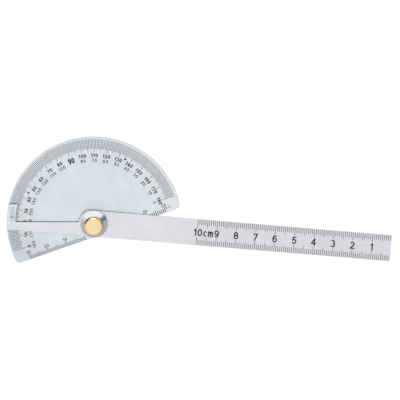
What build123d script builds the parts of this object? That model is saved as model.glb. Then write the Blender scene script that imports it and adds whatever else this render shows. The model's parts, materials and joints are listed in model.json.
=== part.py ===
from build123d import *
import os
from math import atan2, cos, degrees, hypot, sin, sqrt, radians

# A plate protractor lying on its back: a half-round head plate with a blade that swings on it.
# Millimetres and degrees. +Z points up out of the graduated face, +X runs along the base edge
# towards the 180 degree end of the scale, and +Y points to the 90 degree mark. The origin is on the
# pivot axis, in the plane of the plate's back.

# Head plate
HEAD_RADIUS = 45.0
HEAD_THICKNESS = 1.0
HEAD_CORNER_RADIUS = 2.4
HEAD_EDGE_BREAK = 0.15

# Blade: ruler, boss, pointer arm and flag in one strip
BLADE_WIDTH = 13.8
BLADE_REACH = 153.0
BLADE_THICKNESS = 1.0
BLADE_EDGE_BREAK = 0.15
BLADE_CORNER_RADIUS = 0.4
BOSS_STANDOUT = 1.1
BOSS_FILLET = 0.8
ARM_ROOT_WIDTH = 7.1
ARM_TIP_WIDTH = 4.4
FLAG_DEPTH = 4.7
FLAG_HEIGHT = 9.3
FLAG_CORNER_RADIUS = 0.4
FLAG_INNER_FILLET = 0.5
HEEL_RADIUS = 0.8

# The angle that the index line shows on the scale
READING = 24.3

# Pivot stud, set flush into the back of the plate
STUD_DIAMETER = 4.0
STUD_HEAD_DIAMETER = 8.0
STUD_HEAD_THICKNESS = 0.5
STUD_END_CHAMFER = 0.4

# Friction washer between plate and blade
FRICTION_WASHER_DIAMETER = 12.0
FRICTION_WASHER_THICKNESS = 0.2

# Dished spring washer between blade and nut
SPRING_WASHER_DIAMETER = 14.0
SPRING_WASHER_HEIGHT = 1.6
SPRING_WASHER_THICKNESS = 0.8
SPRING_WASHER_CROWN_DIAMETER = 7.4

# Knurled lock nut, closed at the top
NUT_DIAMETER = 10.0
NUT_HEAD_HEIGHT = 2.4
NUT_CHAMFER = 0.5
NUT_COLLAR_DIAMETER = 7.0
NUT_COLLAR_HEIGHT = 3.55
NUT_BORE_DEPTH = 5.0
KNURL_TEETH = 30
KNURL_DEPTH = 0.45
KNURL_GROOVE_WIDTH_SHARE = 0.72

# Clearances, all on the radius or along the axis
BLADE_RUNNING_CLEARANCE = 0.05
NUT_RUNNING_CLEARANCE = 0.05
WASHER_CLEARANCE = 0.1
STUD_END_CLEARANCE = 0.5

# The boss stands out from the blade's edges, also where the blade is wider or narrower
BLADE_HALF_WIDTH = BLADE_WIDTH / 2
BOSS_RADIUS = BLADE_HALF_WIDTH + BOSS_STANDOUT

# Levels that follow from the stack on the stud
BLADE_LEVEL = HEAD_THICKNESS + FRICTION_WASHER_THICKNESS
SPRING_LEVEL = BLADE_LEVEL + BLADE_THICKNESS
NUT_LEVEL = SPRING_LEVEL + SPRING_WASHER_HEIGHT
STUD_TOP = NUT_LEVEL + NUT_BORE_DEPTH - STUD_END_CLEARANCE


def round_plate(diameter, thickness, level):
    """A disc that stands on the given level."""
    return extrude(Pos(0, 0, level) * Circle(diameter / 2), amount=thickness)


def bore(radius, bottom, top):
    """A cutter for a hole on the pivot axis, from one level to another."""
    return extrude(Pos(0, 0, bottom) * Circle(radius), amount=top - bottom)


def break_edges(plate, level, size):
    """Chamfer the outline of a plate at its upper face."""
    rim = plate.faces().filter_by(Axis.Z).sort_by(Axis.Z)[-1].outer_wire().edges()
    return chamfer(rim, size)


def left_meeting(radius, height, slope):
    """Left-hand point where the line y = height + slope x meets a circle about the pivot."""
    square = 1 + slope**2
    reach = sqrt(square * radius**2 - height**2)
    x = (-slope * height - reach) / square
    return (x, height + slope * x)


def arc_about_pivot(start, end):
    """The shorter arc about the pivot between two points at the same distance from it."""
    radius = hypot(*start)
    middle = (start[0] + end[0], start[1] + end[1])
    scale = radius / hypot(*middle)
    return ThreePointArc(start, (middle[0] * scale, middle[1] * scale), end)


def round_corner(face, point, radius):
    """Round the corner of a flat outline that is nearest to a point."""
    corner = face.vertices().sort_by_distance(point)[0]
    return fillet(corner, radius)


def make_head_plate():
    """Half-round plate whose base edge lies flush with the blade's edge at 0 and 180 degrees."""
    width = 2 * HEAD_RADIUS
    height = HEAD_RADIUS + BLADE_HALF_WIDTH
    window = Pos(0, height / 2 - BLADE_HALF_WIDTH) * Rectangle(width, height)
    outline = Circle(HEAD_RADIUS) & window
    outline = fillet(outline.vertices(), HEAD_CORNER_RADIUS)
    plate = break_edges(extrude(outline, amount=HEAD_THICKNESS), HEAD_THICKNESS, HEAD_EDGE_BREAK)
    plate -= bore(STUD_DIAMETER / 2, 0, HEAD_THICKNESS)
    plate -= bore(STUD_HEAD_DIAMETER / 2, 0, STUD_HEAD_THICKNESS)
    return plate


def blade_outline():
    """Plan of the blade with the ruler along +X, and the corners that get a radius.

    The flag and the heel end flush with the head plate's rim."""
    half = BLADE_HALF_WIDTH
    flag_radius = HEAD_RADIUS - FLAG_DEPTH

    # The arm's upper edge falls in a straight line from the boss to the flag.
    slope = (ARM_ROOT_WIDTH - ARM_TIP_WIDTH) / (flag_radius - BOSS_RADIUS)
    arm_height = ARM_ROOT_WIDTH - half + slope * BOSS_RADIUS
    flag_height = arm_height + FLAG_HEIGHT * hypot(1, slope)

    end_low = (BLADE_REACH, -half)
    end_high = (BLADE_REACH, half)
    shoulder = left_meeting(BOSS_RADIUS, half, 0)
    arm_root = left_meeting(BOSS_RADIUS, arm_height, slope)
    arm_tip = left_meeting(flag_radius, arm_height, slope)
    flag_inner = left_meeting(flag_radius, flag_height, slope)
    flag_outer = left_meeting(HEAD_RADIUS, flag_height, slope)
    heel = left_meeting(HEAD_RADIUS, -half, 0)

    edges = [
        Line(end_low, end_high),
        Line(end_high, shoulder),
        arc_about_pivot(shoulder, arm_root),
        Line(arm_root, arm_tip),
        arc_about_pivot(arm_tip, flag_inner),
        Line(flag_inner, flag_outer),
        arc_about_pivot(flag_outer, heel),
        Line(heel, end_low),
    ]
    corners = [
        (end_low, BLADE_CORNER_RADIUS),
        (end_high, BLADE_CORNER_RADIUS),
        (arm_root, BOSS_FILLET),
        (arm_tip, FLAG_INNER_FILLET),
        (flag_inner, FLAG_CORNER_RADIUS),
        (flag_outer, FLAG_CORNER_RADIUS),
        (heel, HEEL_RADIUS),
    ]
    return make_face(edges), corners


def make_blade():
    """Ruler, boss, pointer arm and flag, turned to the reading."""
    outline, corners = blade_outline()
    for point, radius in corners:
        outline = round_corner(outline, point, radius)
    strip = extrude(Pos(0, 0, BLADE_LEVEL) * outline, amount=BLADE_THICKNESS)
    strip = break_edges(strip, SPRING_LEVEL, BLADE_EDGE_BREAK)
    strip -= bore(STUD_DIAMETER / 2 + BLADE_RUNNING_CLEARANCE, BLADE_LEVEL, SPRING_LEVEL)
    return Rot(0, 0, -READING) * strip


def make_pivot_stud():
    """Flat head in the plate's back, and a plain-modelled thread up into the nut."""
    shank = round_plate(STUD_DIAMETER, STUD_TOP, 0)
    shank = chamfer(shank.edges().sort_by(Axis.Z)[-1], STUD_END_CHAMFER)
    return shank + round_plate(STUD_HEAD_DIAMETER, STUD_HEAD_THICKNESS, 0)


def make_friction_washer():
    """Thin flat ring on the plate."""
    ring = round_plate(FRICTION_WASHER_DIAMETER, FRICTION_WASHER_THICKNESS, HEAD_THICKNESS)
    return ring - bore(STUD_DIAMETER / 2 + WASHER_CLEARANCE, HEAD_THICKNESS, BLADE_LEVEL)


def make_spring_washer():
    """Dished ring: a flat crown under the nut and a conical skirt whose rim sits on the blade."""
    hole = STUD_DIAMETER / 2 + WASHER_CLEARANCE
    rim = SPRING_WASHER_DIAMETER / 2
    crown = SPRING_WASHER_CROWN_DIAMETER / 2
    wall = SPRING_WASHER_THICKNESS
    top = SPRING_WASHER_HEIGHT
    section = Polyline(
        (hole, top - wall),
        (hole, top),
        (crown, top),
        (rim, wall),
        (rim, 0),
        (rim - wall, 0),
        (crown, top - wall),
        close=True,
    )
    ring = revolve(Plane.XZ * make_face(section), Axis.Z)
    return Pos(0, 0, SPRING_LEVEL) * ring


def knurl_plan():
    """Circle with evenly spaced V grooves: the plan of a straight knurl."""
    radius = NUT_DIAMETER / 2
    half_groove = radians(180 / KNURL_TEETH * KNURL_GROOVE_WIDTH_SHARE)
    clear = radius + KNURL_DEPTH
    groove = make_face(Polyline(
        (radius - KNURL_DEPTH, 0),
        (clear * cos(half_groove), clear * sin(half_groove)),
        (clear * cos(half_groove), -clear * sin(half_groove)),
        close=True,
    ))
    grooves = [Rot(0, 0, tooth * 360 / KNURL_TEETH) * groove for tooth in range(KNURL_TEETH)]
    return Circle(radius) - grooves


def make_lock_nut():
    """Knurled head, chamfered on both sides, on a plain collar with a blind bore."""
    radius = NUT_DIAMETER / 2
    neck = NUT_COLLAR_DIAMETER / 2
    low = NUT_COLLAR_HEIGHT
    high = NUT_COLLAR_HEIGHT + NUT_HEAD_HEIGHT
    section = Polyline(
        (0, low),
        (radius - NUT_CHAMFER, low),
        (radius, low + NUT_CHAMFER),
        (radius, high - NUT_CHAMFER),
        (radius - NUT_CHAMFER, high),
        (0, high),
        close=True,
    )
    head = revolve(Plane.XZ * make_face(section), Axis.Z)
    head &= extrude(Pos(0, 0, low) * knurl_plan(), amount=NUT_HEAD_HEIGHT)
    nut = head + round_plate(NUT_COLLAR_DIAMETER, low, 0)
    nut -= bore(STUD_DIAMETER / 2 + NUT_RUNNING_CLEARANCE, 0, NUT_BORE_DEPTH)
    return Pos(0, 0, NUT_LEVEL) * nut


NODES = {
    "head_plate": make_head_plate,
    "pivot_stud": make_pivot_stud,
    "friction_washer": make_friction_washer,
    "blade": make_blade,
    "spring_washer": make_spring_washer,
    "lock_nut": make_lock_nut,
}

os.makedirs("parts", exist_ok=True)
for node, make in NODES.items():
    export_step(make(), f"parts/{node}.step")
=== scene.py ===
import json
import math

import bpy
import numpy as np
from bpy.props import FloatProperty, FloatVectorProperty, IntProperty, PointerProperty
from mathutils import Matrix, Vector


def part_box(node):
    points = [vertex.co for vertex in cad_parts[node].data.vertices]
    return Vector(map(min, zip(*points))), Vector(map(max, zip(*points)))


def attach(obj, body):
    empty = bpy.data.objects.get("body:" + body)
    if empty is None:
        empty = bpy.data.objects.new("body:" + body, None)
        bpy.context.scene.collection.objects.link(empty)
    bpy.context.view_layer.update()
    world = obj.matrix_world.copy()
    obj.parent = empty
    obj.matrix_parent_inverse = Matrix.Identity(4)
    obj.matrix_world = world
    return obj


bl_info = {
    "name": "Plate protractor",
    "version": (1, 0, 0),
    "blender": (4, 5, 0),
    "location": "View3D > Sidebar > Protractor",
    "description": "Finishes, engraved scales and studio for a plate protractor with a swinging blade",
    "category": "Object",
}

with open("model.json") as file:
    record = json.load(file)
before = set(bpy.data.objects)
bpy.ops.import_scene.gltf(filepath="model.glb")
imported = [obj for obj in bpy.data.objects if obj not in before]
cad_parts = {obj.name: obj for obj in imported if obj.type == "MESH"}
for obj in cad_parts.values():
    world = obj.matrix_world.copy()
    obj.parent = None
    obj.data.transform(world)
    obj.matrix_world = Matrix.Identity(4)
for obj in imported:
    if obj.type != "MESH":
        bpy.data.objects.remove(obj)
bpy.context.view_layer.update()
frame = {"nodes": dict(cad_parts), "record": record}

# Units and the instrument's own sizes, in metres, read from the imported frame
MM = 0.001
HEAD_LOW, HEAD_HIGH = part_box("head_plate")
PLATE_FACE = HEAD_HIGH.z
BLADE_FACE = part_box("blade")[1].z
HEAD_RADIUS = HEAD_HIGH.x
BASE_EDGE = HEAD_LOW.y
BLADE_HALF_WIDTH = -BASE_EDGE
STRAIGHT_ANGLE = 180


def blade_bearing():
    """Turn of the blade about the pivot: its lower edge faces along the axis of the mount on that edge."""
    mounts = {mount["name"]: mount for mount in frame["record"]["mounts"]}
    x, y, _ = mounts["blade_edge"]["axis"]
    return math.atan2(x, -y)


def flat(x, y):
    """Flat points from their two coordinates, either of which may be one value for all."""
    return np.stack(np.broadcast_arrays(x, y), axis=-1)


def turned(points, angle):
    """Flat points turned about the origin: x' = x cos a - y sin a, y' = x sin a + y cos a."""
    turn = np.array([[math.cos(angle), math.sin(angle)], [-math.sin(angle), math.cos(angle)]])
    return np.asarray(points, float) @ turn


BLADE_TURN = blade_bearing()


def blade_reach():
    """Largest distance of the blade's mesh along its own length."""
    mesh = frame["nodes"]["blade"].data
    places = np.empty(len(mesh.vertices) * 3, np.float32)
    mesh.vertices.foreach_get("co", places)
    return float(turned(places.reshape(-1, 3)[:, :2], -BLADE_TURN)[:, 0].max())


BLADE_REACH = blade_reach()


def on_blade(reach, height):
    """Flat points given along the blade from the pivot and across it from its middle."""
    return turned(flat(reach, height), BLADE_TURN)


# Marks: how deep they sit in the steel, how far they stand proud of it, and their gap to the plate's edge
MARK_DEPTH = 0.03 * MM
MARK_PROUD = 0.008 * MM
EDGE_GAP = 0.15 * MM
CURVE_STATIONS = 25

# Every tenth mark is the longest and has a numeral, and the fifth marks come next
NUMBERED_STEP = 10
HALF_STEP = 5

# Lettering: the pen and a character's width as shares of the height, and the gap between characters as
# a share of that width
LETTERING_SHARES = {
    "bold": (0.22, 0.63, 0.2),
    "light": (0.17, 0.62, 0.3),
    "middle": (0.21, 0.545, 0.08),
    "base": (0.20, 0.6, 0.3),
    "base unit": (0.1333, 0.95, 0.3),
    "blade": (0.175, 0.64, 0.1),
    "blade unit": (0.175, 0.56, 0.1),
}

# Single-stroke characters, as shares of their own width and height. A "line" runs through its points
# with square corners. An "arc" has a centre, two radii, and a start and end angle in degrees.
CHARACTER_SHARES = {
    "0": [("arc", 0.5, 0.5, 0.5, 0.5, 0, 360)],
    "1": [("line", (0.16, 0.78), (0.72, 1.0)), ("line", (0.72, 1.0), (0.72, 0.0))],
    "2": [("arc", 0.49, 0.72, 0.47, 0.28, 168, -38), ("line", (0.88, 0.57), (0.03, 0.0)),
          ("line", (0.0, 0.0), (1.0, 0.0))],
    "3": [("arc", 0.46, 0.755, 0.43, 0.245, 155, -90), ("arc", 0.46, 0.26, 0.50, 0.26, 90, -157)],
    "4": [("line", (0.74, 0.0), (0.74, 1.0)), ("line", (0.74, 1.0), (0.0, 0.32)),
          ("line", (0.0, 0.27), (1.0, 0.27))],
    "5": [("line", (0.92, 1.0), (0.2, 1.0)), ("line", (0.2, 1.0), (0.1, 0.5)),
          ("arc", 0.48, 0.32, 0.50, 0.32, 138, -155)],
    "6": [("arc", 0.5, 0.31, 0.48, 0.31, 0, 360), ("arc", 0.53, 0.5, 0.51, 0.5, 42, 205)],
    "7": [("line", (0.0, 1.0), (1.0, 1.0)), ("line", (1.0, 1.0), (0.34, 0.0))],
    "8": [("arc", 0.5, 0.76, 0.42, 0.24, 0, 360), ("arc", 0.5, 0.27, 0.5, 0.27, 0, 360)],
    "9": [("arc", 0.5, 0.69, 0.48, 0.31, 0, 360), ("arc", 0.47, 0.5, 0.51, 0.5, 222, 385)],
    "c": [("arc", 0.5, 0.36, 0.5, 0.36, 48, 312)],
    "m": [("line", (0.0, 0.0), (0.0, 0.72)), ("arc", 0.25, 0.46, 0.25, 0.26, 180, 0),
          ("line", (0.5, 0.46), (0.5, 0.0)), ("arc", 0.75, 0.46, 0.25, 0.26, 180, 0),
          ("line", (1.0, 0.46), (1.0, 0.0))],
}
WIDE_CHARACTER_SHARES = {"m": 1.25, "1": 0.72}


def ribbon(paths, width, closed=False):
    """A rectangular section carried along flat paths, given as an array of paths, stations and x, y.

    The section stands square to the path, which it follows by the difference of the stations on each
    side: its corners lie half the width to the right and left, at height 0 below and 1 above.
    Returns the vertices and the outward quads."""
    if closed:
        along = np.roll(paths, -1, axis=1) - np.roll(paths, 1, axis=1)
    else:
        along = np.gradient(paths, axis=1)
    along /= np.linalg.norm(along, axis=2, keepdims=True)
    aside = flat(-along[..., 1], along[..., 0]) * (np.asarray(width) / 2)
    sides = np.stack([paths - aside, paths + aside, paths + aside, paths - aside], axis=2)
    heights = np.broadcast_to(np.array([0.0, 0.0, 1.0, 1.0])[:, None], (*sides.shape[:3], 1))
    vertices = np.concatenate([sides, heights], axis=-1).reshape(-1, 3)

    count, stations = paths.shape[:2]
    index = np.arange(count * stations * 4).reshape(count, stations, 4)
    following = np.roll(index, -1, axis=1) if closed else index[:, 1:]
    here = index if closed else index[:, :-1]
    turn = np.roll(here, -1, axis=2)
    following_turn = np.roll(following, -1, axis=2)
    quads = [np.stack([here, turn, following_turn, following], axis=-1).reshape(-1, 4)]
    if not closed:
        quads.append(index[:, 0, ::-1])
        quads.append(index[:, -1])
    return vertices, np.concatenate(quads)


class Marking:
    """Collects ribbons, and makes them one thin piece let into a steel face."""

    def __init__(self):
        self.vertices, self.quads, self.count = [], [], 0

    def add(self, paths, width, closed=False):
        """Ribbons along flat paths."""
        vertices, quads = ribbon(np.asarray(paths, float), width, closed)
        self.vertices.append(vertices)
        self.quads.append(quads + self.count)
        self.count += len(vertices)

    def lines(self, starts, ends, width):
        """Straight marks from each start to its end."""
        self.add(np.stack([starts, ends], axis=1), width)

    def text(self, words, height, style, centre, angle=0.0):
        """A word of single-stroke characters about a centre, its baseline turned by an angle.

        Each character's box is one pen lower and narrower than the character, so that the drawn strokes
        are as tall as the height says. The gap between boxes adds one pen."""
        pen_share, width_share, gap_share = LETTERING_SHARES[style]
        pen = height * pen_share
        full = height * width_share
        tall = height - pen
        widths = [full * WIDE_CHARACTER_SHARES.get(letter, 1.0) - pen for letter in words]
        step = full * gap_share + pen
        left = -(sum(widths) + step * (len(words) - 1)) / 2
        for letter, wide in zip(words, widths):
            for stroke in CHARACTER_SHARES[letter]:
                self.stroke(stroke, (wide, tall), (left, -tall / 2), pen, centre, angle)
            left += wide + step

    def stroke(self, stroke, size, corner, pen, centre, angle):
        """One stroke of a character, scaled to its box, turned and moved to its place."""
        kind, *rest = stroke
        if kind == "line":
            path = np.array(rest, float) * size
            lengthen = (path[1] - path[0]) / np.linalg.norm(path[1] - path[0]) * pen / 2
            path = path + np.stack([-lengthen, lengthen])
            closed = False
        else:
            x, y, wide, tall, start, end = rest
            closed = abs(end - start) == 2 * STRAIGHT_ANGLE
            sweep = np.radians(np.linspace(start, end, CURVE_STATIONS, endpoint=not closed))
            path = flat(x + wide * np.cos(sweep), y + tall * np.sin(sweep)) * size
        path = turned(path + corner, angle) + centre
        self.add(path[None], pen, closed)

    def make(self, name, face, body, slot, material, shift=(0.0, 0.0)):
        """The collected marks as one mesh object, with its top a hair above the given face."""
        places = np.concatenate(self.vertices)
        places[:, :2] += shift
        places[:, 2] = face - MARK_DEPTH + places[:, 2] * (MARK_DEPTH + MARK_PROUD)
        mesh = bpy.data.meshes.new(name)
        mesh.from_pydata(places, [], np.concatenate(self.quads))
        mesh.update()
        return place_piece(name, mesh, body, material)


def new_object(name, data):
    """A new object in the scene."""
    made = bpy.data.objects.new(name, data)
    bpy.context.scene.collection.objects.link(made)
    return made


def place_piece(name, mesh, body, material):
    """Links a mesh as a piece of the instrument that rides on a body."""
    piece = new_object(name, mesh)
    mesh.materials.append(material)
    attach(piece, body)
    return piece


def finish_node(name, material):
    """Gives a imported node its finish."""
    node = frame["nodes"][name]
    node.data.materials.clear()
    node.data.materials.append(material)


# Shader helpers

def connect(tree, node, sockets):
    """Sets each named socket of a node to a value, or joins it to an output."""
    for name, value in sockets.items():
        if isinstance(value, bpy.types.NodeSocket):
            tree.links.new(value, node.inputs[name])
        else:
            node.inputs[name].default_value = value


def add_node(tree, kind, settings=None, sockets=None):
    """Adds a node, with its own settings, and with each socket set to a value or joined to an output."""
    node = tree.nodes.new(kind)
    for name, value in (settings or {}).items():
        setattr(node, name, value)
    connect(tree, node, sockets or {})
    return node


def calculate(tree, operation, first, second=0.0):
    """One arithmetic step on two numbers."""
    return add_node(tree, "ShaderNodeMath", {"operation": operation}, {0: first, 1: second}).outputs[0]


def weigh(tree, first, second, first_share):
    """Two numbers added by their shares, which make up one whole."""
    return calculate(tree, "ADD", calculate(tree, "MULTIPLY", first, first_share),
                     calculate(tree, "MULTIPLY", second, 1 - first_share))


def remap(tree, value, low, high, to_low=0.0, to_high=1.0, smooth=True):
    """A value carried from one range to another, held at the ends."""
    kind = "SMOOTHSTEP" if smooth else "LINEAR"
    return add_node(tree, "ShaderNodeMapRange", {"interpolation_type": kind}, {
        "Value": value, "From Min": low, "From Max": high, "To Min": to_low, "To Max": to_high,
    }).outputs["Result"]


def new_group(name, inputs, outputs):
    """An empty shader node group with named sockets: its tree, its input node and its output node."""
    tree = bpy.data.node_groups.new(name, "ShaderNodeTree")
    for label, kind in inputs.items():
        tree.interface.new_socket(label, in_out="INPUT", socket_type=kind)
    for label, kind in outputs.items():
        tree.interface.new_socket(label, in_out="OUTPUT", socket_type=kind)
    return tree, tree.nodes.new("NodeGroupInput"), tree.nodes.new("NodeGroupOutput")


def use_group(tree, group, sockets):
    """Places a node group in a tree."""
    return add_node(tree, "ShaderNodeGroup", {"node_tree": group}, sockets)


def object_place(tree):
    """The place of a point on its piece."""
    return add_node(tree, "ShaderNodeTexCoord").outputs["Object"]


# Noise: the fine and the broad pattern of scratches and rings, the clouds of handling, the share of the
# fine pattern in the grain, and the values between which each kind is read
FINE_NOISE = {"Scale": 1.0, "Detail": 2.0, "Roughness": 0.6}
BROAD_NOISE = {"Scale": 0.31, "Detail": 1.0, "Roughness": 0.5}
CLOUD_NOISE = {"Detail": 3.0, "Roughness": 0.55, "Distortion": 0.4}
FINE_SHARE = 0.6
SCRATCH_RANGE = (0.3, 0.7)
CLOUD_RANGE = (0.35, 0.7)


def brushed_grain_group():
    """Long fine scratches along the pattern's X: stretched noise at two sizes, as a mask and a normal."""
    tree, given, result = new_group(
        "Brushed grain",
        {"Vector": "NodeSocketVector", "Length": "NodeSocketFloat", "Width": "NodeSocketFloat",
         "Depth": "NodeSocketFloat"},
        {"Grain": "NodeSocketFloat", "Normal": "NodeSocketVector"},
    )
    lengths = calculate(tree, "DIVIDE", 1.0, given.outputs["Length"])
    widths = calculate(tree, "DIVIDE", 1.0, given.outputs["Width"])
    scale = add_node(tree, "ShaderNodeCombineXYZ", None, {"X": lengths, "Y": widths, "Z": widths})
    place = add_node(tree, "ShaderNodeVectorMath", {"operation": "MULTIPLY"},
                     {0: given.outputs["Vector"], 1: scale.outputs[0]}).outputs[0]
    fine = add_node(tree, "ShaderNodeTexNoise", None, {"Vector": place, **FINE_NOISE}).outputs[0]
    broad = add_node(tree, "ShaderNodeTexNoise", None, {"Vector": place, **BROAD_NOISE}).outputs[0]
    grain = remap(tree, weigh(tree, fine, broad, FINE_SHARE), *SCRATCH_RANGE, smooth=False)
    bump = add_node(tree, "ShaderNodeBump", None,
                    {"Height": grain, "Strength": 1.0, "Distance": given.outputs["Depth"]})
    connect(tree, result, {"Grain": grain, "Normal": bump.outputs[0]})
    return tree


def turned_finish_group():
    """Rings left by a lathe tool: noise of the distance from the axis, as a mask, a radius and a normal."""
    tree, given, result = new_group(
        "Turned finish",
        {"Vector": "NodeSocketVector", "Pitch": "NodeSocketFloat", "Depth": "NodeSocketFloat"},
        {"Rings": "NodeSocketFloat", "Radius": "NodeSocketFloat", "Normal": "NodeSocketVector"},
    )
    flat = add_node(tree, "ShaderNodeVectorMath", {"operation": "MULTIPLY"},
                    {0: given.outputs["Vector"], 1: (1.0, 1.0, 0.0)}).outputs[0]
    radius = add_node(tree, "ShaderNodeVectorMath", {"operation": "LENGTH"}, {0: flat}).outputs["Value"]
    steps = calculate(tree, "DIVIDE", radius, given.outputs["Pitch"])
    noise = add_node(tree, "ShaderNodeTexNoise", {"noise_dimensions": "1D"},
                     {"W": steps, **FINE_NOISE}).outputs[0]
    rings = remap(tree, noise, *SCRATCH_RANGE, smooth=False)
    bump = add_node(tree, "ShaderNodeBump", None,
                    {"Height": rings, "Strength": 1.0, "Distance": given.outputs["Depth"]})
    connect(tree, result, {"Rings": rings, "Radius": radius, "Normal": bump.outputs[0]})
    return tree


def handling_group():
    """Faint clouds that handling leaves on bare metal: low-contrast noise, as a mask."""
    tree, given, result = new_group(
        "Handling haze",
        {"Vector": "NodeSocketVector", "Size": "NodeSocketFloat"},
        {"Haze": "NodeSocketFloat"},
    )
    size = calculate(tree, "DIVIDE", 1.0, given.outputs["Size"])
    cloud = add_node(tree, "ShaderNodeTexNoise", None,
                     {"Vector": given.outputs["Vector"], "Scale": size, **CLOUD_NOISE}).outputs[0]
    connect(tree, result, {"Haze": remap(tree, cloud, *CLOUD_RANGE)})
    return tree


def new_material(name):
    """A material with only a Principled shader: the material, its tree and that shader."""
    material = bpy.data.materials.new(name)
    material.use_nodes = True
    tree = material.node_tree
    tree.nodes.clear()
    shader = tree.nodes.new("ShaderNodeBsdfPrincipled")
    output = tree.nodes.new("ShaderNodeOutputMaterial")
    tree.links.new(shader.outputs["BSDF"], output.inputs["Surface"])
    return material, tree, shader


def blend_colours(tree, mask, low, high):
    """The first colour where the mask is 0, and the second where it is 1.

    The node's colours are its inputs 6 and 7 and its output 2."""
    low, high = (each if isinstance(each, bpy.types.NodeSocket) else (*each, 1.0) for each in (low, high))
    ends = {"Factor": mask, 6: low, 7: high}
    return add_node(tree, "ShaderNodeMix", {"data_type": "RGBA"}, ends).outputs[2]


# How much a surface faces up where it starts and stops to count as a wall: a chamfer is half a wall
WALL_RISE = (0.5, 0.85)


# The walls this finds are given painted shade and more roughness
def wall_mask(tree):
    """1 on upright walls, 0 on faces that lie flat, from the surface's own normal."""
    normal = add_node(tree, "ShaderNodeTexCoord").outputs["Normal"]
    rise = add_node(tree, "ShaderNodeSeparateXYZ", None, {0: normal}).outputs["Z"]
    return remap(tree, calculate(tree, "ABSOLUTE", rise), *WALL_RISE, 1.0, 0.0)


# Brushed steel: width and depth of its grain, size of its haze, the grain's share in the pattern, how far
# its roughness varies, and how much rougher than the face its walls are
GRAIN_WIDTH = 0.22 * MM
GRAIN_DEPTH = 0.0003 * MM
STEEL_HAZE = 18 * MM
GRAIN_SHARE = 0.75
ROUGHNESS_SPREAD = 0.05
WALL_ROUGHER = 0.2

# Each brushed finish: length of its grain, contrast as a share of the tone, roughness, and the painted shade
# of its walls as shares of the face's tone, first and second, with the distances along the grain between
# which the first gives way to the second.
# A painted light fade, darker or lighter towards one end, has its axis, the distances where it starts and
# ends, and the shares of the face's colour that it ends at.
HEAD_GRAIN_ANGLE = math.pi / 2
HEAD_LOOK = {
    "grain_length": 2.5 * MM, "contrast_share": 0.045, "roughness": 0.36, "wall_shade_shares": (0.4, 0.4),
    # Painted light and shade: the head darker towards one end, and lighter and warmer towards the other
    "painted_light_fades": (("Y", (22 * MM, 44 * MM), (0.87, 0.87, 0.87)),
              ("Y", (-28 * MM, -42 * MM), (1.06, 1.03, 0.98))),
}
BLADE_LOOK = {
    "grain_length": 8 * MM, "contrast_share": 0.045, "roughness": 0.28, "wall_shade_shares": (0.08, 0.9),
    # Painted shade: dark walls where the blade lies on the head plate and paler ones towards the far end,
    # and the far end of the face painted darker
    "wall_shade_ends": (-14 * MM, 36 * MM), "painted_light_fades": (("X", (37 * MM, 50 * MM), (0.965, 0.965, 0.965)),),
}
FIELD_LOOK = {"grain_length": 8 * MM, "contrast_share": 0.06, "roughness": 0.38, "wall_shade_shares": (0.5, 0.5)}

# Turned metal: pitch and depth of its rings, and how far they change its tone and its roughness
RING_PITCH = 0.14 * MM
RING_DEPTH = 0.0008 * MM
RING_TONE_SHARE = 0.03
RING_ROUGHNESS = 0.02
QUARTER_TURN = 0.25

# Each turned finish: the painted shade of its walls as a share of the rim's tone, the radii between which
# the darker rim of painted shade begins, roughness of face and rim, and how much the rings stretch a
# highlight.
# The nut's face is rounded between two radii, by a height.
STUD_LOOK = {"wall_shade_share": 0.8, "rim": (3 * MM, 4 * MM), "roughnesses": (0.35, 0.35), "anisotropy": 0.5}
WASHER_LOOK = {
    "wall_shade_share": 0.4375, "rim": (6.75 * MM, 7.0 * MM), "roughnesses": (0.1, 0.1), "anisotropy": 0.4,
}
NUT_LOOK = {
    "wall_shade_share": 0.3, "rim": (4.4 * MM, 4.8 * MM), "roughnesses": (0.22, 0.12), "anisotropy": 1.0,
    "rounding": (3.8 * MM, 4.5 * MM, 0.35 * MM),
}
# Painted shade: the washer's rim darker than its face
WASHER_RIM_SHADE_SHARE = 0.8

# Dull finishes: size of their clouds, tone as shares of the colour, and roughness, from cloud to cloud
ENAMEL_CLOUD = 0.9 * MM
ENAMEL_SHARES = (0.8, 1.3)
NUMERAL_ROUGHNESSES = (0.35, 0.47)
MARK_ROUGHNESSES = (0.4, 0.52)
FIBRE_CLOUD = 0.25 * MM
FIBRE_SHARES = (0.85, 1.25)
FIBRE_ROUGHNESSES = (0.6, 0.7)


def shade(colour, factor):
    """A colour made lighter or darker by a factor."""
    return tuple(channel * factor for channel in colour)


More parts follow.
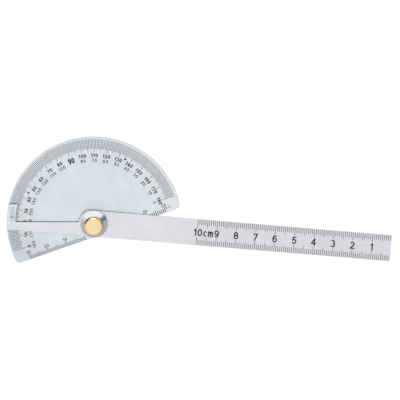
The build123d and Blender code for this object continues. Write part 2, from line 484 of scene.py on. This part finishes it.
def brushed_steel(name, colour, grain_angle, grain_length, contrast_share, roughness, wall_shade_shares,
                  wall_shade_ends=None, painted_light_fades=()):
    """Bare satin steel with grain along one direction of the face.

    Its walls are darkened to shares of the face's tone as painted shade, for the dark line of shadow along
    the edges:
    the first share, or, where two distances along the grain are given, the first up to them, fading to the
    second beyond.
    Each fade is painted light and shade: it carries the face's colour to shares of itself between two
    distances along an axis that turns with the grain."""
    groups = shared_groups()
    material, tree, shader = new_material(name)
    place = object_place(tree)
    along = add_node(tree, "ShaderNodeMapping", None,
                     {"Vector": place, "Rotation": (0.0, 0.0, -grain_angle)}).outputs[0]
    grain = use_group(tree, groups["grain"], {
        "Vector": along, "Length": grain_length, "Width": GRAIN_WIDTH, "Depth": GRAIN_DEPTH})
    haze = use_group(tree, groups["haze"], {"Vector": place, "Size": STEEL_HAZE})
    mask = weigh(tree, grain.outputs["Grain"], haze.outputs["Haze"], GRAIN_SHARE)
    tone = blend_colours(tree, mask, shade(colour, 1 - contrast_share), shade(colour, 1 + contrast_share))
    reach = add_node(tree, "ShaderNodeSeparateXYZ", None, {0: along}).outputs
    # Painted light and shade: the face's tone falls or rises towards an end
    for axis, distances, shares in painted_light_fades:
        painted_light_tone = tuple(channel * share for channel, share in zip(colour, shares))
        tone = blend_colours(tree, remap(tree, reach[axis], *distances), tone, painted_light_tone)
    # Painted shade on the walls: dark where the blade lies on the head plate, paler beyond the given
    # distances
    wall = wall_mask(tree)
    finish = remap(tree, reach["X"], *wall_shade_ends) if wall_shade_ends else 0.0
    painted_wall_shade = blend_colours(tree, finish, *(shade(colour, share) for share in wall_shade_shares))
    tone = blend_colours(tree, wall, tone, painted_wall_shade)
    rough = remap(tree, mask, 0.0, 1.0, roughness + ROUGHNESS_SPREAD, roughness - ROUGHNESS_SPREAD)
    rough = calculate(tree, "ADD", rough, calculate(tree, "MULTIPLY", wall, WALL_ROUGHER))
    connect(tree, shader, {"Base Color": tone, "Roughness": rough, "Normal": grain.outputs["Normal"],
                           "Metallic": 1.0})
    return material


def turned_metal(name, colour, rim_shade_colour, wall_shade_share, rim, roughnesses, anisotropy, rounding=None):
    """Lathe-turned metal, darker towards its rim and darker still on upright walls as painted shade, with
    another polish towards its rim.

    Where rounding is given, the face curves down evenly between two radii, by a height."""
    material, tree, shader = new_material(name)
    turned_rings = use_group(tree, shared_groups()["turned"], {
        "Vector": object_place(tree), "Pitch": RING_PITCH, "Depth": RING_DEPTH}).outputs
    rings, radius = turned_rings["Rings"], turned_rings["Radius"]
    outside = remap(tree, radius, *rim)
    tone = blend_colours(tree, rings, shade(colour, 1 - RING_TONE_SHARE), shade(colour, 1 + RING_TONE_SHARE))
    # Painted shade: darker towards the rim, darker still on the walls
    tone = blend_colours(tree, outside, tone, rim_shade_colour)
    tone = blend_colours(tree, wall_mask(tree), tone, shade(rim_shade_colour, wall_shade_share))
    rough = remap(tree, outside, 0.0, 1.0, *roughnesses)
    rough = calculate(tree, "ADD", rough, remap(tree, rings, 0.0, 1.0, RING_ROUGHNESS, -RING_ROUGHNESS))
    normal = turned_rings["Normal"]
    if rounding:
        start, end, fall = rounding
        out = remap(tree, radius, start, end, smooth=False)
        normal = add_node(tree, "ShaderNodeBump", {"invert": True}, {
            "Height": calculate(tree, "MULTIPLY", out, out), "Distance": fall, "Normal": normal}).outputs[0]
    tangent = add_node(tree, "ShaderNodeTangent", {"direction_type": "RADIAL", "axis": "Z"})
    connect(tree, shader, {
        "Base Color": tone, "Roughness": rough, "Normal": normal, "Metallic": 1.0, "Anisotropic": anisotropy,
        "Anisotropic Rotation": QUARTER_TURN, "Tangent": tangent.outputs[0]})
    return material


def clouded(name, colour, size, tone_shares, roughnesses):
    """A dull finish whose tone and roughness drift in clouds."""
    material, tree, shader = new_material(name)
    haze = use_group(tree, shared_groups()["haze"], {"Vector": object_place(tree), "Size": size}).outputs[0]
    tone = blend_colours(tree, haze, *(shade(colour, share) for share in tone_shares))
    connect(tree, shader, {"Base Color": tone, "Roughness": remap(tree, haze, 0.0, 1.0, *roughnesses)})
    return material


def enamel(name, colour, roughnesses):
    """Dark filling of an engraved mark, a little uneven where it has settled."""
    return clouded(name, colour, ENAMEL_CLOUD, ENAMEL_SHARES, roughnesses)


def fibre(name, colour):
    """Pressed fibre washer stock with a fine speckle."""
    return clouded(name, colour, FIBRE_CLOUD, FIBRE_SHARES, FIBRE_ROUGHNESSES)


SHARED = {}


def shared_groups():
    """The node groups that several finishes use, each built once."""
    if not SHARED:
        SHARED.update(grain=brushed_grain_group(), turned=turned_finish_group(), haze=handling_group())
    return SHARED


def shared_material(name, make, *values):
    """A finish that several pieces share, made when the first of them asks for it."""
    return bpy.data.materials.get(name) or make(name, *values)


def length(name, default, description):
    """A length that a user can change."""
    return FloatProperty(name=name, description=description, default=default, unit="LENGTH", precision=5)


def colour(name, default, description):
    """A colour that a user can change."""
    return FloatVectorProperty(name=name, description=description, default=default, subtype="COLOR",
                               size=3, min=0.0, max=1.0)


class ProtractorDegreeScale(bpy.types.PropertyGroup):
    """The half-circle of degrees on the head plate"""

    rim: length("Blank rim", 1.2 * MM, "Bare steel outside the graduations")
    one_degree: length("Degree mark", 4.9 * MM, "Length of the mark of each degree")
    five_degrees: length("Five-degree mark", 5.6 * MM, "Length of each fifth mark")
    ten_degrees: length("Ten-degree mark", 6.6 * MM, "Length of each tenth mark")
    mark_width: length("Mark width", 0.245 * MM, "Width of the graduations")
    outer_row: length("Outer row", 35.5 * MM, "Radius of the middle of the bold numerals")
    outer_height: length("Bold numerals", 1.95 * MM, "Height of the bold numerals")
    inner_row: length("Inner row", 32.9 * MM, "Radius of the middle of the light numerals")
    inner_height: length("Light numerals", 1.8 * MM, "Height of the light numerals")
    middle_row: length("Middle numeral row", 34.5 * MM, "Radius of the middle of the large 90")
    middle_height: length("Middle numeral", 3.0 * MM, "Height of the large 90")
    shift_x: length("Shift along the base", -0.15 * MM, "How far the whole scale is printed off the pivot")
    shift_y: length("Shift across the base", -0.10 * MM, "How far the whole scale is printed off the pivot")
    numeral_shift: length("Numeral shift", -0.05 * MM, "How far the numerals are printed off the pivot")
    ring_x: length("Ring shift along", -0.1 * MM, "How far the outer ends of the marks lie off their ring")
    ring_y: length("Ring shift across", 0.3 * MM, "How far the outer ends of the marks lie off their ring")
    arrow_length: length("Arrow length", 1.35 * MM, "Length of the small arrows at 45 and 135 degrees")
    arrow_gap: length("Arrow gap", 0.15 * MM, "From the five-degree marks to the tips of the arrows")


class ProtractorBaseScale(bpy.types.PropertyGroup):
    """The two short millimetre scales along the head's base edge"""

    left_zero: length("Left zero", -7.1 * MM, "Place of the left scale's zero along the base edge")
    right_zero: length("Right zero", 6.65 * MM, "Place of the right scale's zero along the base edge")
    reach: IntProperty(name="Reach", description="Millimetres on each side", default=30)
    one: length("Millimetre mark", 2.0 * MM, "Length of the millimetre marks")
    five: length("Five-millimetre mark", 2.6 * MM, "Length of each fifth mark")
    ten: length("Ten-millimetre mark", 2.9 * MM, "Length of each tenth mark")
    mark_width: length("Mark width", 0.41 * MM, "Width of the marks")
    numeral_height: length("Numerals", 1.65 * MM, "Height of the numerals")
    numeral_rise: length("Numeral rise", 3.9 * MM, "From the base edge to the middle of the numerals")
    unit_height: length("Unit", 1.2 * MM, "Height of the unit's letters")
    unit_place: length("Unit place", 38.2 * MM, "From the pivot to the unit, along the base edge")
    unit_rise: length("Unit rise", 2.2 * MM, "From the base edge to the middle of the unit")


class ProtractorBladeScale(bpy.types.PropertyGroup):
    """The ten-centimetre scale along both edges of the blade"""

    centimetres: IntProperty(name="Centimetres", description="Length of the scale", default=10)
    one: length("Millimetre mark", 3.0 * MM, "Length of the millimetre marks")
    five: length("Five-millimetre mark", 3.95 * MM, "Length of each fifth mark")
    ten: length("Ten-millimetre mark", 4.4 * MM, "Length of each tenth mark")
    mark_width: length("Mark width", 0.3 * MM, "Width of the marks")
    numeral_height: length("Numerals", 3.85 * MM, "Height of the numerals")
    numeral_drop: length("Numeral drop", 0.05 * MM, "How far below the blade's middle the numerals sit")
    last_shift: length("Last numeral's shift", 0.4 * MM, "How far the last numeral sits off its mark")
    unit_place: length("Unit place", 94.3 * MM, "From the scale's zero to the middle of the unit")


class ProtractorIndex(bpy.types.PropertyGroup):
    """The pointer's etched field and the index line"""

    outer: length("Outer end", 43.3 * MM, "From the pivot to the outer end of the field and the line")
    field_inner: length("Field's inner end", 41.0 * MM, "From the pivot to the field's inner end")
    field_rise: length("Field's rise", 1.6 * MM, "From the blade's middle to the field's middle")
    field_width: length("Field's width", 7.6 * MM, "Width of the field across the blade")
    field_sunk: length("Field's depth", 0.004 * MM, "How far the field lies below other marks")
    line_inner: length("Line's inner end", 40.9 * MM, "From the pivot to the line's inner end")
    line_width: length("Line's width", 0.35 * MM, "Width of the index line")


class ProtractorFinish(bpy.types.PropertyGroup):
    """Colours of the metals and marks"""

    head: colour("Head plate", (0.735, 0.79, 0.842), "Satin steel of the half-round head")
    blade: colour("Blade", (0.712, 0.722, 0.75), "Brushed steel of the blade")
    washer: colour("Spring washer", (0.765, 0.805, 0.82), "Polished steel of the dished washer")
    nut: colour("Lock nut", (0.97, 0.73, 0.45), "Bright brass of the nut's face")
    # Painted shade: this darker brass of the knurled rim and rounded edge stands in for their shade
    nut_rim: colour("Lock nut rim", (0.72, 0.38, 0.12), "Deeper brass of the nut's knurled rim")
    stud: colour("Stud", (0.55, 0.56, 0.58), "Turned steel of the pivot stud")
    friction: colour("Friction washer", (0.05, 0.05, 0.055), "Dark fibre between plate and blade")
    enamel: colour("Numerals", (0.02, 0.02, 0.024), "Black filling of the numerals")
    marks: colour("Graduations", (0.085, 0.095, 0.10), "Grey of the laser-marked graduations")
    field: colour("Pointer field", (0.63, 0.655, 0.675), "Etched field under the index line")


class ProtractorStudio(bpy.types.PropertyGroup):
    """Floor, surroundings and camera"""

    floor_radius: length("Floor radius", 14.0, "Radius of the floor disc")
    floor: colour("Floor", (0.86, 0.86, 0.86), "Pale floor")
    surround: FloatProperty(name="Surround", description="Strength of the light all round", default=1.0)
    lens: FloatProperty(name="Lens", description="Focal length in millimetres", default=262.878)
    distance: length("Distance", 1.49778, "From the camera to the floor where it aims")
    tilt: FloatProperty(name="Tilt", description="Lean of the view from straight down, towards the 90 "
                        "degree mark", default=math.radians(11.0336), subtype="ANGLE")
    side: FloatProperty(name="Side", description="Turn of that lean about the vertical",
                        default=math.radians(-19.0325), subtype="ANGLE")
    roll: FloatProperty(name="Roll", description="Turn of the picture about the view",
                        default=math.radians(-0.4203), subtype="ANGLE")


class ProtractorSettings(bpy.types.PropertyGroup):
    """Everything that a user would change"""

    degrees: PointerProperty(type=ProtractorDegreeScale)
    base: PointerProperty(type=ProtractorBaseScale)
    blade: PointerProperty(type=ProtractorBladeScale)
    index: PointerProperty(type=ProtractorIndex)
    finish: PointerProperty(type=ProtractorFinish)
    studio: PointerProperty(type=ProtractorStudio)


def settings():
    """The scene's own settings."""
    return bpy.context.scene.protractor


def enamel_material():
    """The black filling that all numerals share."""
    return shared_material("Numeral enamel", enamel, tuple(settings().finish.enamel), NUMERAL_ROUGHNESSES)


def marks_material():
    """The grey of all graduations and of the index line."""
    return shared_material("Graduation marks", enamel, tuple(settings().finish.marks), MARK_ROUGHNESSES)


def tick_lengths(steps, one, five, ten):
    """Length of each mark: tens are longest, fives come next."""
    return np.where(steps % NUMBERED_STEP == 0, ten, np.where(steps % HALF_STEP == 0, five, one))


class PROTRACTOR_OT_head_plate(bpy.types.Operator):
    """Give the half-round head plate its satin finish, with the grain square to the base edge"""

    bl_idname = "protractor.head_plate"
    bl_label = "Head plate"

    def execute(self, context):
        tone = tuple(settings().finish.head)
        finish_node("head_plate", brushed_steel("Head steel", tone, HEAD_GRAIN_ANGLE, **HEAD_LOOK))
        return {"FINISHED"}


# The small arrows: the degrees that they point at, and their width at tip and tail as shares of their length
ARROW_DEGREES = [45, 135]
ARROW_WIDTH_SHARES = (0.1, 1.0)


class PROTRACTOR_OT_degree_scale(bpy.types.Operator):
    """Engrave the degrees, both rows of numerals and the arrows at 45 and 135 degrees"""

    bl_idname = "protractor.degree_scale"
    bl_label = "Degree scale"

    def execute(self, context):
        scale = settings().degrees
        values = np.arange(STRAIGHT_ANGLE + 1)
        angles = np.radians(STRAIGHT_ANGLE - values)
        outward = flat(np.cos(angles), np.sin(angles))
        outer = HEAD_RADIUS - scale.rim
        inner = outer - tick_lengths(values, scale.one_degree, scale.five_degrees, scale.ten_degrees)
        ends = outer + outward @ np.array([scale.ring_x, scale.ring_y])
        marks = Marking()
        marks.lines(outward * ends[:, None], outward * inner[:, None], scale.mark_width)
        shift = (scale.shift_x, scale.shift_y)
        marks.make("degree_marks", PLATE_FACE, "head", "head_steel", marks_material(), shift)

        bold, light = Marking(), Marking()
        middle = STRAIGHT_ANGLE // 2
        for value in range(0, STRAIGHT_ANGLE + 1, NUMBERED_STEP):
            angle = angles[value] - math.pi / 2
            if value == middle:
                place = outward[value] * scale.middle_row
                bold.text(str(value), scale.middle_height, "middle", place, angle)
                continue
            bold.text(str(value), scale.outer_height, "bold", outward[value] * scale.outer_row, angle)
            light.text(str(STRAIGHT_ANGLE - value), scale.inner_height, "light",
                       outward[value] * scale.inner_row, angle)

        tips = outward[ARROW_DEGREES] * (outer - scale.five_degrees - scale.arrow_gap)
        tails = tips - outward[ARROW_DEGREES] * scale.arrow_length
        taper = np.array(ARROW_WIDTH_SHARES)[None, :, None] * scale.arrow_length
        bold.add(np.stack([tips, tails], axis=1), taper)
        shift = (scale.numeral_shift, scale.shift_y)
        bold.make("degree_numerals_bold", PLATE_FACE, "head", "head_steel", enamel_material(), shift)
        light.make("degree_numerals_light", PLATE_FACE, "head", "head_steel", enamel_material(), shift)
        return {"FINISHED"}


class PROTRACTOR_OT_base_scales(bpy.types.Operator):
    """Engrave the millimetre scales on each side of the pivot, along the base edge"""

    bl_idname = "protractor.base_scales"
    bl_label = "Base-edge scales"

    def execute(self, context):
        scale = settings().base
        steps = np.arange(scale.reach + 1)
        lengths = tick_lengths(steps, scale.one, scale.five, scale.ten)
        marks = Marking()
        for side, zero in ((-1, scale.left_zero), (1, scale.right_zero)):
            x = zero + side * steps * MM
            marks.lines(flat(x, BASE_EDGE + EDGE_GAP), flat(x, BASE_EDGE + lengths), scale.mark_width)
            for value in range(NUMBERED_STEP, scale.reach + 1, NUMBERED_STEP):
                centre = (zero + side * value * MM, BASE_EDGE + scale.numeral_rise)
                marks.text(str(value), scale.numeral_height, "base", centre)
        marks.text("mm", scale.unit_height, "base unit", (scale.unit_place, BASE_EDGE + scale.unit_rise))
        marks.make("base_scale_marks", PLATE_FACE, "head", "head_steel", marks_material())
        return {"FINISHED"}


class PROTRACTOR_OT_blade(bpy.types.Operator):
    """Give the blade its brushed finish, with the grain along its length"""

    bl_idname = "protractor.blade"
    bl_label = "Blade"

    def execute(self, context):
        tone = tuple(settings().finish.blade)
        finish_node("blade", brushed_steel("Blade steel", tone, BLADE_TURN, **BLADE_LOOK))
        return {"FINISHED"}


class PROTRACTOR_OT_blade_scale(bpy.types.Operator):
    """Engrave the centimetre scale on the blade: marks on both edges and numerals between them"""

    bl_idname = "protractor.blade_scale"
    bl_label = "Blade scale"

    def execute(self, context):
        scale = settings().blade
        steps = np.arange(scale.centimetres * NUMBERED_STEP + 1)
        x = BLADE_REACH - steps * MM
        lengths = tick_lengths(steps, scale.one, scale.five, scale.ten)
        marks, numerals = Marking(), Marking()
        for side in (-1, 1):
            starts = on_blade(x, side * (BLADE_HALF_WIDTH - EDGE_GAP))
            ends = on_blade(x, side * (BLADE_HALF_WIDTH - lengths))
            marks.lines(starts[1:], ends[1:], scale.mark_width)
        for value in range(1, scale.centimetres + 1):
            shift = scale.last_shift if value == scale.centimetres else 0.0
            middle = on_blade(BLADE_REACH - value * NUMBERED_STEP * MM + shift, -scale.numeral_drop)
            numerals.text(str(value), scale.numeral_height, "blade", middle, BLADE_TURN)
        middle = on_blade(BLADE_REACH - scale.unit_place, -scale.numeral_drop)
        numerals.text("cm", scale.numeral_height, "blade unit", middle, BLADE_TURN)
        marks.make("blade_marks", BLADE_FACE, "blade", "blade_steel", marks_material())
        numerals.make("blade_numerals", BLADE_FACE, "blade", "blade_steel", enamel_material())
        return {"FINISHED"}


class PROTRACTOR_OT_index(bpy.types.Operator):
    """Etch the pointer's field and engrave the index line on the blade's middle"""

    bl_idname = "protractor.index"
    bl_label = "Index line"

    def execute(self, context):
        index = settings().index
        field = Marking()
        field.lines(on_blade([-index.outer], index.field_rise),
                    on_blade([-index.field_inner], index.field_rise), index.field_width)
        tone = tuple(settings().finish.field)
        etched = brushed_steel("Etched field", tone, BLADE_TURN, **FIELD_LOOK)
        field.make("pointer_field", BLADE_FACE - index.field_sunk, "blade", "blade_steel", etched)
        line = Marking()
        line.lines(on_blade([-index.outer], 0.0), on_blade([-index.line_inner], 0.0), index.line_width)
        line.make("index_line", BLADE_FACE, "blade", "blade_steel", marks_material())
        return {"FINISHED"}


class PROTRACTOR_OT_clamp(bpy.types.Operator):
    """Finish the stud, the friction washer, the dished washer and the knurled brass nut"""

    bl_idname = "protractor.clamp"
    bl_label = "Pivot and clamp"

    def execute(self, context):
        finish = settings().finish
        stud, washer, nut_rim = tuple(finish.stud), tuple(finish.washer), tuple(finish.nut_rim)
        # The washer's rim and the nut's rim get painted shade
        washer_rim_shade = shade(washer, WASHER_RIM_SHADE_SHARE)
        finish_node("pivot_stud", turned_metal("Stud steel", stud, stud, **STUD_LOOK))
        finish_node("friction_washer", fibre("Friction fibre", tuple(finish.friction)))
        finish_node("spring_washer", turned_metal("Washer steel", washer, washer_rim_shade, **WASHER_LOOK))
        finish_node("lock_nut", turned_metal("Nut brass", tuple(finish.nut), nut_rim, **NUT_LOOK))
        return {"FINISHED"}


# The point of the floor that the camera and the lamp look at
AIM = Vector((55.1666 * MM, -6.7828 * MM, 0.0))

# The floor: radii of its inner rings, its sides, level, roughness, and its lift towards white
FLOOR_RINGS = (0.1, 0.5, 2.0, 6.0)
FLOOR_SIDES = 64
FLOOR_LEVEL = -0.01 * MM
FLOOR_ROUGHNESS = 0.9
FLOOR_LIFT = 0.5

# The lamp: its diameter, power and place
KEY_SIZE = 0.5
KEY_POWER = 1.2
KEY_PLACE = Vector((-0.25, 0.75, 0.9))

# The camera: width of its sensor in millimetres, and how far it sees
SENSOR_WIDTH = 36.0
CLIP_END = 100.0

# The surroundings as the plates and the nut mirror them. A direction is given by its lean across and up
# the picture, as a tangent, from straight up; for low directions the least height stands in. A bright
# card hangs overhead; each of its ends has the lean where it is dark and the lean where it is bright. Its
# light falls off to the right.
LEAST_HEIGHT = 0.05
CARD_ENDS = {"left": (-0.60, -0.38), "right": (0.345, 0.305), "near": (-0.54, -0.40), "far": (0.70, 0.52)}
CARD_LIGHT = 1.105
CARD_FALL = 0.10
AIR_LIGHT = 0.5

# Light near the horizon: at its left and right, the direction of its right, how far out each is reached,
# and the heights between which it gives way to the dim air
HORIZON_LIGHT = (1.5, 0.82)
HORIZON_SIDE = (0.966, 0.259, 0.0)
HORIZON_SPREAD = 0.8
HORIZON_HEIGHT = (0.30, 0.60)

# Round patches, darker or brighter than that air: where their middle is, across, up and in height, the
# angles at which they are full and gone, their light and their tint
PATCHES = (
    ((0.385, 0.055, 1.0), (3, 8.5), 0.2, (0.72, 0.97, 1.0)),
    ((-0.86, 0.50, 0.10), (20, 33), 0.02, (1.0, 1.0, 1.0)),
    ((0.95, 0.30, 0.07), (7, 15), 0.25, (1.0, 1.0, 1.0)),
    ((0.50, 0.86, 0.15), (15, 32), 1.1, (1.0, 1.0, 1.0)),
)

# A long bright strip beyond the card: its sides across, as shares of its lean up, and how softly they end,
# the leans up between which it starts, the heights between which it ends, and its light
STRIP_ACROSS_SHARES = (-0.34, 0.14)
STRIP_SOFT_SHARE = 0.10
STRIP_UP = (0.76, 0.86)
STRIP_HEIGHT = (0.6, 0.7)
STRIP_LIGHT = 6.0


class PROTRACTOR_OT_studio(bpy.types.Operator):
    """Set up the pale floor, the soft studio light and the camera"""

    bl_idname = "protractor.studio"
    bl_label = "Studio"

    def execute(self, context):
        studio = settings().studio
        scene = context.scene
        scene.view_settings.view_transform = "Standard"
        self.make_floor(studio)
        self.make_surround(scene, studio)
        self.make_key_lamp()
        self.make_camera(scene, studio)
        return {"FINISHED"}

    def make_floor(self, studio):
        """A flat disc: radius and angle on a grid, closed at its middle."""
        rings = np.array([*FLOOR_RINGS, studio.floor_radius])
        around = np.linspace(0.0, 2 * math.pi, FLOOR_SIDES, endpoint=False)
        radii, angles = np.meshgrid(rings, around, indexing="ij")
        places = np.stack([radii * np.cos(angles), radii * np.sin(angles),
                           np.full(radii.shape, FLOOR_LEVEL)], axis=-1).reshape(-1, 3)
        places = np.concatenate([places, [[0.0, 0.0, FLOOR_LEVEL]]])
        index = np.arange(radii.size).reshape(radii.shape)
        beside = np.roll(index, -1, axis=1)
        quads = np.stack([index[:-1], index[1:], beside[1:], beside[:-1]], axis=-1).reshape(-1, 4)
        centre = np.full(len(around), radii.size)
        fan = np.stack([centre, index[0], beside[0]], axis=-1)
        mesh = bpy.data.meshes.new("floor")
        mesh.from_pydata(places, [], quads.tolist() + fan.tolist())
        mesh.update()
        floor = new_object("floor", mesh)
        mesh.materials.append(self.floor_material(studio))

    def floor_material(self, studio):
        """Matt pale floor, lifted towards white for what looks at it or mirrors it; shadows stay."""
        material, tree, shader = new_material("Pale floor")
        connect(tree, shader, {"Base Color": (*studio.floor, 1.0), "Roughness": FLOOR_ROUGHNESS})
        path = add_node(tree, "ShaderNodeLightPath")
        seen = calculate(tree, "MAXIMUM", path.outputs["Is Camera Ray"], path.outputs["Is Glossy Ray"])
        seen = calculate(tree, "MAXIMUM", seen, path.outputs["Is Transmission Ray"])
        lift = add_node(tree, "ShaderNodeEmission", None, {
            "Color": (1.0, 1.0, 1.0, 1.0), "Strength": calculate(tree, "MULTIPLY", seen, FLOOR_LIFT)})
        total = add_node(tree, "ShaderNodeAddShader", None, {0: shader.outputs[0], 1: lift.outputs[0]})
        output = next(node for node in tree.nodes if node.type == "OUTPUT_MATERIAL")
        tree.links.new(total.outputs[0], output.inputs["Surface"])
        return material

    def make_surround(self, scene, studio):
        """A bright card overhead, a brighter strip beyond it, a few round patches, and a pale horizon."""
        world = bpy.data.worlds.new("Studio")
        world.use_nodes = True
        tree = world.node_tree
        tree.nodes.clear()
        turn = Matrix.Rotation(studio.side + studio.roll, 3, "Z")
        direction = add_node(tree, "ShaderNodeTexCoord").outputs["Generated"]

        def lean(axis):
            return add_node(tree, "ShaderNodeVectorMath", {"operation": "DOT_PRODUCT"},
                            {0: direction, 1: turn @ Vector(axis).normalized()}).outputs["Value"]

        def toward(light, mask, level):
            more = calculate(tree, "MULTIPLY", mask, calculate(tree, "SUBTRACT", level, light))
            return calculate(tree, "ADD", light, more)

        side, rise, height = lean((1, 0, 0)), lean((0, 1, 0)), lean((0, 0, 1))
        held_height = calculate(tree, "MAXIMUM", height, LEAST_HEIGHT)
        across = calculate(tree, "DIVIDE", side, held_height)
        up = calculate(tree, "DIVIDE", rise, held_height)

        horizon = remap(tree, lean(HORIZON_SIDE), -HORIZON_SPREAD, HORIZON_SPREAD, *HORIZON_LIGHT)
        light = remap(tree, height, *HORIZON_HEIGHT, horizon, AIR_LIGHT)
        tint = (1.0, 1.0, 1.0)
        for middle, (full, gone), level, patch_tint in PATCHES:
            near, far = math.cos(math.radians(full)), math.cos(math.radians(gone))
            patch = remap(tree, lean(middle), far, near)
            light = toward(light, patch, level)
            tint = blend_colours(tree, patch, tint, patch_tint)

        spread = calculate(tree, "DIVIDE", side, calculate(tree, "MAXIMUM", rise, LEAST_HEIGHT))
        low, high = STRIP_ACROSS_SHARES
        strip = remap(tree, up, *STRIP_UP)
        for edge in (remap(tree, spread, low - STRIP_SOFT_SHARE, low),
                     remap(tree, spread, high, high + STRIP_SOFT_SHARE, 1.0, 0.0),
                     remap(tree, height, *STRIP_HEIGHT)):
            strip = calculate(tree, "MULTIPLY", strip, edge)
        light = toward(light, strip, STRIP_LIGHT)

        card = 1.0
        for tilt, ends in ((across, ("left", "right")), (up, ("near", "far"))):
            for end in ends:
                dark, bright = CARD_ENDS[end]
                edge = remap(tree, tilt, min(dark, bright), max(dark, bright),
                             float(dark > bright), float(dark < bright))
                card = calculate(tree, "MULTIPLY", card, edge)
        card_light = remap(tree, across, 0.0, CARD_ENDS["right"][0], CARD_LIGHT, CARD_LIGHT - CARD_FALL)
        light = toward(light, card, card_light)
        background = add_node(tree, "ShaderNodeBackground", None, {
            "Color": tint, "Strength": calculate(tree, "MULTIPLY", light, studio.surround)})
        output = tree.nodes.new("ShaderNodeOutputWorld")
        tree.links.new(background.outputs[0], output.inputs["Surface"])
        scene.world = world

    def make_key_lamp(self):
        """One large soft lamp, above and to the left of the picture, which the metal doesn't mirror."""
        lamp = bpy.data.lights.new("Key", "AREA")
        lamp.shape = "DISK"
        lamp.size = KEY_SIZE
        lamp.energy = KEY_POWER
        key = new_object("Key", lamp)
        key.location = KEY_PLACE
        key.rotation_mode = "QUATERNION"
        key.rotation_quaternion = (AIM - KEY_PLACE).to_track_quat("-Z", "Y")
        key.visible_camera = False
        key.visible_glossy = False

    def make_camera(self, scene, studio):
        """The photograph's view: an aim on the floor, a distance, a lean, its bearing and a roll."""
        camera = bpy.data.cameras.new("Camera")
        camera.sensor_width = SENSOR_WIDTH
        camera.lens = studio.lens
        camera.clip_end = CLIP_END
        placed = new_object("Camera", camera)
        view = (Matrix.Rotation(studio.side, 4, "Z") @ Matrix.Rotation(-studio.tilt, 4, "X")
                @ Matrix.Rotation(studio.roll, 4, "Z"))
        placed.matrix_world = (Matrix.Translation(AIM) @ view
                               @ Matrix.Translation(Vector((0.0, 0.0, studio.distance))))
        scene.camera = placed


class PROTRACTOR_PT_panel(bpy.types.Panel):
    """The protractor's settings and steps"""

    bl_label = "Protractor"
    bl_idname = "PROTRACTOR_PT_panel"
    bl_space_type = "VIEW_3D"
    bl_region_type = "UI"
    bl_category = "Protractor"

    def draw(self, context):
        values = context.scene.protractor
        for operator, group in STEPS:
            box = self.layout.box()
            box.operator(operator.bl_idname)
            for name in getattr(values, group).__annotations__:
                box.prop(getattr(values, group), name)


STEPS = (
    (PROTRACTOR_OT_head_plate, "finish"),
    (PROTRACTOR_OT_degree_scale, "degrees"),
    (PROTRACTOR_OT_base_scales, "base"),
    (PROTRACTOR_OT_blade, "finish"),
    (PROTRACTOR_OT_blade_scale, "blade"),
    (PROTRACTOR_OT_index, "index"),
    (PROTRACTOR_OT_clamp, "finish"),
    (PROTRACTOR_OT_studio, "studio"),
)
CLASSES = (
    ProtractorDegreeScale, ProtractorBaseScale, ProtractorBladeScale, ProtractorIndex, ProtractorFinish,
    ProtractorStudio, ProtractorSettings, *(operator for operator, _ in STEPS), PROTRACTOR_PT_panel,
)


def register():
    """Makes the classes known, and gives each scene the settings."""
    for each in CLASSES:
        bpy.utils.register_class(each)
    bpy.types.Scene.protractor = PointerProperty(type=ProtractorSettings)


def unregister():
    """Takes back what register did."""
    del bpy.types.Scene.protractor
    for each in reversed(CLASSES):
        bpy.utils.unregister_class(each)


def main():
    """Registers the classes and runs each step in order."""
    register()
    for operator, _ in STEPS:
        group, name = operator.bl_idname.split(".")
        getattr(getattr(bpy.ops, group), name)()


if __name__ == "__main__":
    main()
